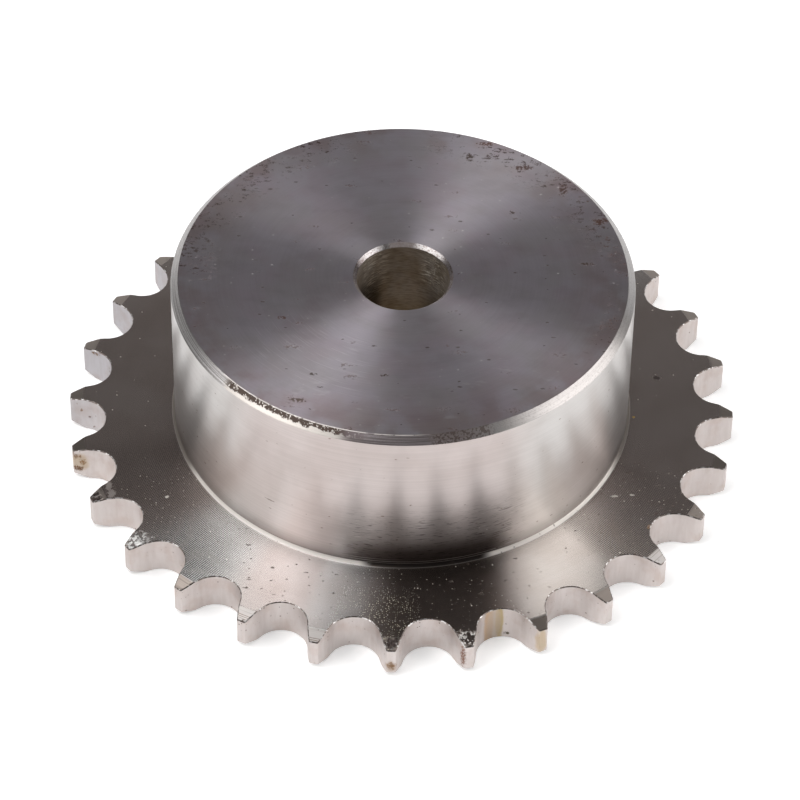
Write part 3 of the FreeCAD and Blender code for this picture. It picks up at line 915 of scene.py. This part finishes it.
# Where the photograph was taken from: how far the sprocket is turned under the camera, the camera's place
# behind and above the origin, and how it looks down, rolls and yaws. The lens is for a sensor of this width.
CAMERA_TURN = math.radians(1.015)
CAMERA_BACK = 388.93 * MM
CAMERA_HEIGHT = 386.51 * MM
CAMERA_DOWN = math.radians(44.402)
CAMERA_ROLL = math.radians(0.877)
CAMERA_YAW = math.radians(-0.025)
CAMERA_LENS = 184.67
CAMERA_SENSOR = 36


def add_camera(scene):
    """Stand the camera at the photograph's viewing angle."""
    level = math.cos(CAMERA_DOWN)
    forward = Vector((math.sin(CAMERA_YAW) * level, math.cos(CAMERA_YAW) * level, -math.sin(CAMERA_DOWN)))
    right = forward.cross(Vector((0, 0, 1))).normalized()
    up = right.cross(forward)
    right, up = (math.cos(CAMERA_ROLL) * right + math.sin(CAMERA_ROLL) * up,
                 math.cos(CAMERA_ROLL) * up - math.sin(CAMERA_ROLL) * right)
    stand = Matrix((right, up, -forward)).transposed().to_4x4()
    stand.translation = (0, -CAMERA_BACK, CAMERA_HEIGHT)
    data = bpy.data.cameras.new("camera")
    data.lens = CAMERA_LENS
    data.sensor_width = CAMERA_SENSOR
    data.clip_start = 0.01
    camera = bpy.data.objects.new("camera", data)
    camera.matrix_world = Matrix.Rotation(CAMERA_TURN, 4, "Z") @ stand
    scene.collection.objects.link(camera)
    scene.camera = camera


def add_softbox(scene, name, azimuth, elevation, size, radiance):
    """Hang an area lamp in this direction, in degrees, a metre from the sprocket and square on to it."""
    around = Matrix.Rotation(math.radians(azimuth), 4, "Z")
    down = Matrix.Rotation(math.radians(90 - elevation), 4, "Y")
    data = bpy.data.lights.new(name, "AREA")
    data.shape = "RECTANGLE"
    data.size, data.size_y = size
    data.energy = radiance * math.pi * size[0] * size[1]
    lamp = bpy.data.objects.new(name, data)
    lamp.matrix_world = around @ down @ Matrix.Translation((0, 0, 1))
    lamp.visible_camera = False
    scene.collection.objects.link(lamp)


FLOOR_TONE = 0.9
FLOOR_LIFT = 0.4
FLOOR_HALF = 3.0


def add_floor(scene):
    """Lay a plain pale floor.

    What the camera and the metal see of it is lifted to white by a little light of its own, so that the
    object's shadow stays on it and no lamp has to be turned up for it.
    """
    corners = [(x * FLOOR_HALF, y * FLOOR_HALF, 0) for x, y in ((-1, -1), (1, -1), (1, 1), (-1, 1))]
    mesh = bpy.data.meshes.new("floor")
    mesh.from_pydata(corners, [], [(0, 1, 2, 3)])
    material = bpy.data.materials.new("pale_floor")
    material.use_nodes = True
    tree = material.node_tree
    tree.nodes.clear()
    rays = add_node(tree, "ShaderNodeLightPath").outputs
    seen = rays["Is Camera Ray"]
    for kind in ("Is Glossy Ray", "Is Transmission Ray"):
        seen = add_node(tree, "ShaderNodeMath", {0: seen, 1: rays[kind]}, operation="MAXIMUM")
    lift = add_node(tree, "ShaderNodeMath", {0: seen, 1: FLOOR_LIFT}, operation="MULTIPLY")
    shader = add_node(tree, "ShaderNodeBsdfPrincipled", {
        "Base Color": (FLOOR_TONE, FLOOR_TONE, FLOOR_TONE, 1), "Roughness": 0.9, "Specular IOR Level": 0.0,
        "Emission Color": (1, 1, 1, 1), "Emission Strength": lift})
    add_node(tree, "ShaderNodeOutputMaterial", {"Surface": shader})
    mesh.materials.append(material)
    floor = bpy.data.objects.new("floor", mesh)
    scene.collection.objects.link(floor)


def add_world(scene):
    """Leave the room dim, with a pale backdrop behind the sprocket and a soft ceiling.

    Each part of it rises from 0 to its strength, or between two strengths, over a stretch of the view's
    direction: Y points behind the sprocket, and Z up.
    """
    world = bpy.data.worlds.new("studio")
    world.use_nodes = True
    tree = world.node_tree
    tree.nodes.clear()
    coordinates = add_node(tree, "ShaderNodeTexCoord")
    axes = add_node(tree, "ShaderNodeSeparateXYZ", {0: coordinates.outputs["Generated"]}).outputs
    room_strengths, backdrop_strength, ceiling_strength = (0.04, 0.19), 1.2, 0.08
    behind, below, above, room, ceiling = [
        add_node(tree, "ShaderNodeMapRange", {0: axes[axis], 1: start, 2: end, 3: low, 4: high},
                 interpolation_type="SMOOTHSTEP")
        for axis, start, end, low, high in (
            ("Y", 0.6, 0.86, 0, 1),
            ("Z", 0.44, 0.32, 0, backdrop_strength),
            ("Z", 0.02, 0.16, 0, 1),
            ("Y", -0.3, 0.5, *room_strengths),
            ("Z", 0.75, 0.95, 0, ceiling_strength),
        )
    ]
    backdrop = add_node(tree, "ShaderNodeMath", {0: behind, 1: below}, operation="MULTIPLY")
    backdrop = add_node(tree, "ShaderNodeMath", {0: backdrop, 1: above}, operation="MULTIPLY")
    strength = add_node(tree, "ShaderNodeMath", {0: backdrop, 1: room}, operation="ADD")
    strength = add_node(tree, "ShaderNodeMath", {0: strength, 1: ceiling}, operation="ADD")
    background = add_node(tree, "ShaderNodeBackground", {"Color": (1, 1, 1, 1), "Strength": strength})
    add_node(tree, "ShaderNodeOutputWorld", {"Surface": background})
    scene.world = world


class OBJECT_OT_sprocket_studio(bpy.types.Operator):
    """Set up the floor, the lamps, the room light and the camera"""

    bl_idname = "object.sprocket_studio"
    bl_label = "Studio"

    def execute(self, context):
        scene = context.scene
        scene.view_settings.view_transform = "Standard"
        add_world(scene)
        add_floor(scene)
        add_softbox(scene, "right_softbox", azimuth=-2, elevation=28, size=(1.1, 0.84), radiance=2.65)
        add_softbox(scene, "left_softbox", azimuth=196, elevation=54, size=(1.0, 0.8), radiance=3.5)
        add_camera(scene)
        return {"FINISHED"}


class VIEW3D_PT_sprocket(bpy.types.Panel):
    """The sprocket's sizes, colours and builders"""

    bl_label = "Chain Sprocket"
    bl_space_type = "VIEW_3D"
    bl_region_type = "UI"
    bl_category = "Sprocket"

    def draw(self, context):
        scene = context.scene
        for group in (scene.sprocket_sizes, scene.sprocket_colours):
            column = self.layout.column()
            for name in group.__annotations__:
                column.prop(group, name)
        self.layout.operator(OBJECT_OT_sprocket_body.bl_idname)
        self.layout.operator(OBJECT_OT_sprocket_studio.bl_idname)


CLASSES = (SprocketSizes, SprocketColours, OBJECT_OT_sprocket_body, OBJECT_OT_sprocket_studio,
           VIEW3D_PT_sprocket)


def register():
    for cls in CLASSES:
        bpy.utils.register_class(cls)
    bpy.types.Scene.sprocket_sizes = PointerProperty(type=SprocketSizes)
    bpy.types.Scene.sprocket_colours = PointerProperty(type=SprocketColours)


def unregister():
    del bpy.types.Scene.sprocket_colours
    del bpy.types.Scene.sprocket_sizes
    for cls in reversed(CLASSES):
        bpy.utils.unregister_class(cls)


def main():
    """Build everything."""
    register()
    bpy.ops.object.sprocket_body()
    bpy.ops.object.sprocket_studio()


if __name__ == "__main__":
    main()
